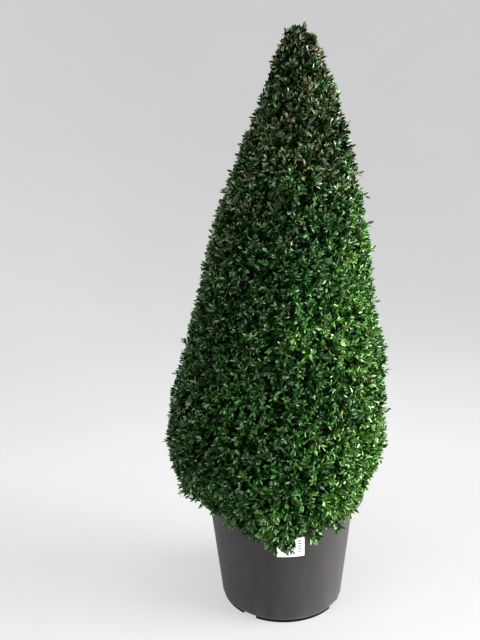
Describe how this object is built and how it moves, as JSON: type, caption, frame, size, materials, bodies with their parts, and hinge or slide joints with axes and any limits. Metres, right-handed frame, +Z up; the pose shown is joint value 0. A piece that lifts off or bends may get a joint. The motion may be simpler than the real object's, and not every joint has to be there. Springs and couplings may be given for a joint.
{
  "type": "boxwood cone topiary in a nursery pot",
  "caption": "Evergreen shrub with small leaves, clipped to a tall pointed cone, on a short forked stem in a round tapered plastic pot with a rolled rim and a blank sticker.",
  "frame": {"origin": "middle of the pot's flat underside, on the ground", "axes": "+Z up the plant, -Y towards the front, where the sticker is, +X to the right seen from the front; the crown leans a little to +X"},
  "size_m": [0.4574, 0.4557, 1.0948],
  "materials": {
    "pot_plastic": "satin dark grey moulded plastic, faintly streaked and dusty",
    "label": "white matte sticker with a few plain grey bars",
    "potting_mix": "dark crumbly peat mix",
    "bark": "pale grey-brown corky bark, finely fissured",
    "foliage": "small glossy dark green leaves, yellower where young"
  },
  "bodies": {
    "root": {"pot": "pot_plastic", "pot_label": "label", "potting_mix": "potting_mix", "trunk": "bark", "bough_leader": "bark", "bough_1": "bark", "bough_2": "bark", "bough_3": "bark", "bough_4": "bark", "crown_foliage": "foliage"}
  },
  "joints": []
}
